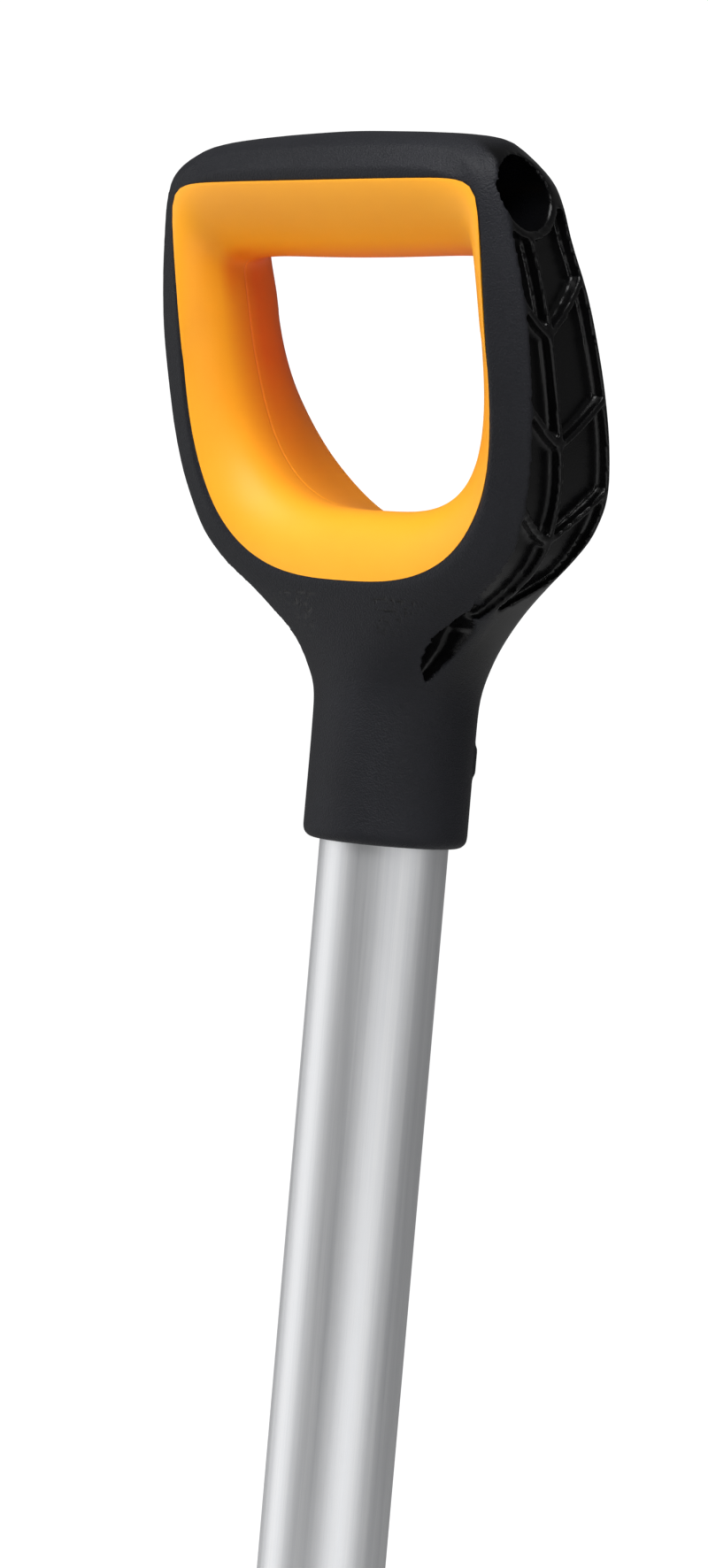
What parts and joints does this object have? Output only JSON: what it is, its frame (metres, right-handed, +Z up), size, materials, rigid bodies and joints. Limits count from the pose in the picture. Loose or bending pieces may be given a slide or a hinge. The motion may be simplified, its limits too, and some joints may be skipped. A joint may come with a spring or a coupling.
{
  "type": "digging fork",
  "caption": "Garden digging fork with a two-colour D-handle, a straight round aluminium shaft, a forged head with square tines and folded foot treads.",
  "frame": {"origin": "the middle of the grip bar's underside, where a hook or a hand carries the fork", "axes": "+Z up along the shaft towards the grip, X across the D and the row of tines, -Y the front of the D and the side the tine tips curve to"},
  "size_m": [0.19, 0.0829, 1.1906],
  "materials": {
    "handle_black": "finely grained moulded plastic",
    "grip_orange": "satin soft-touch moulding",
    "anodised_aluminium": "satin anodised, drawn lengthwise",
    "forged_black": "black powder coat over forged steel",
    "zinc_steel": "zinc-plated",
    "nylon": "natural nylon"
  },
  "bodies": {
    "root": {"handle_shell": "handle_black", "grip_lining": "grip_orange", "handle_screw": "zinc_steel", "shaft_tube": "anodised_aluminium", "tube_plug": "nylon", "shaft_ferrule": "handle_black", "tang_neck": "forged_black", "tang_rivet_lower": "zinc_steel", "tang_rivet_upper": "zinc_steel", "crosshead": "forged_black", "tine_outer_left": "forged_black", "tine_inner_left": "forged_black", "tine_inner_right": "forged_black", "tine_outer_right": "forged_black", "tread_left": "forged_black", "tread_right": "forged_black"}
  },
  "joints": []
}
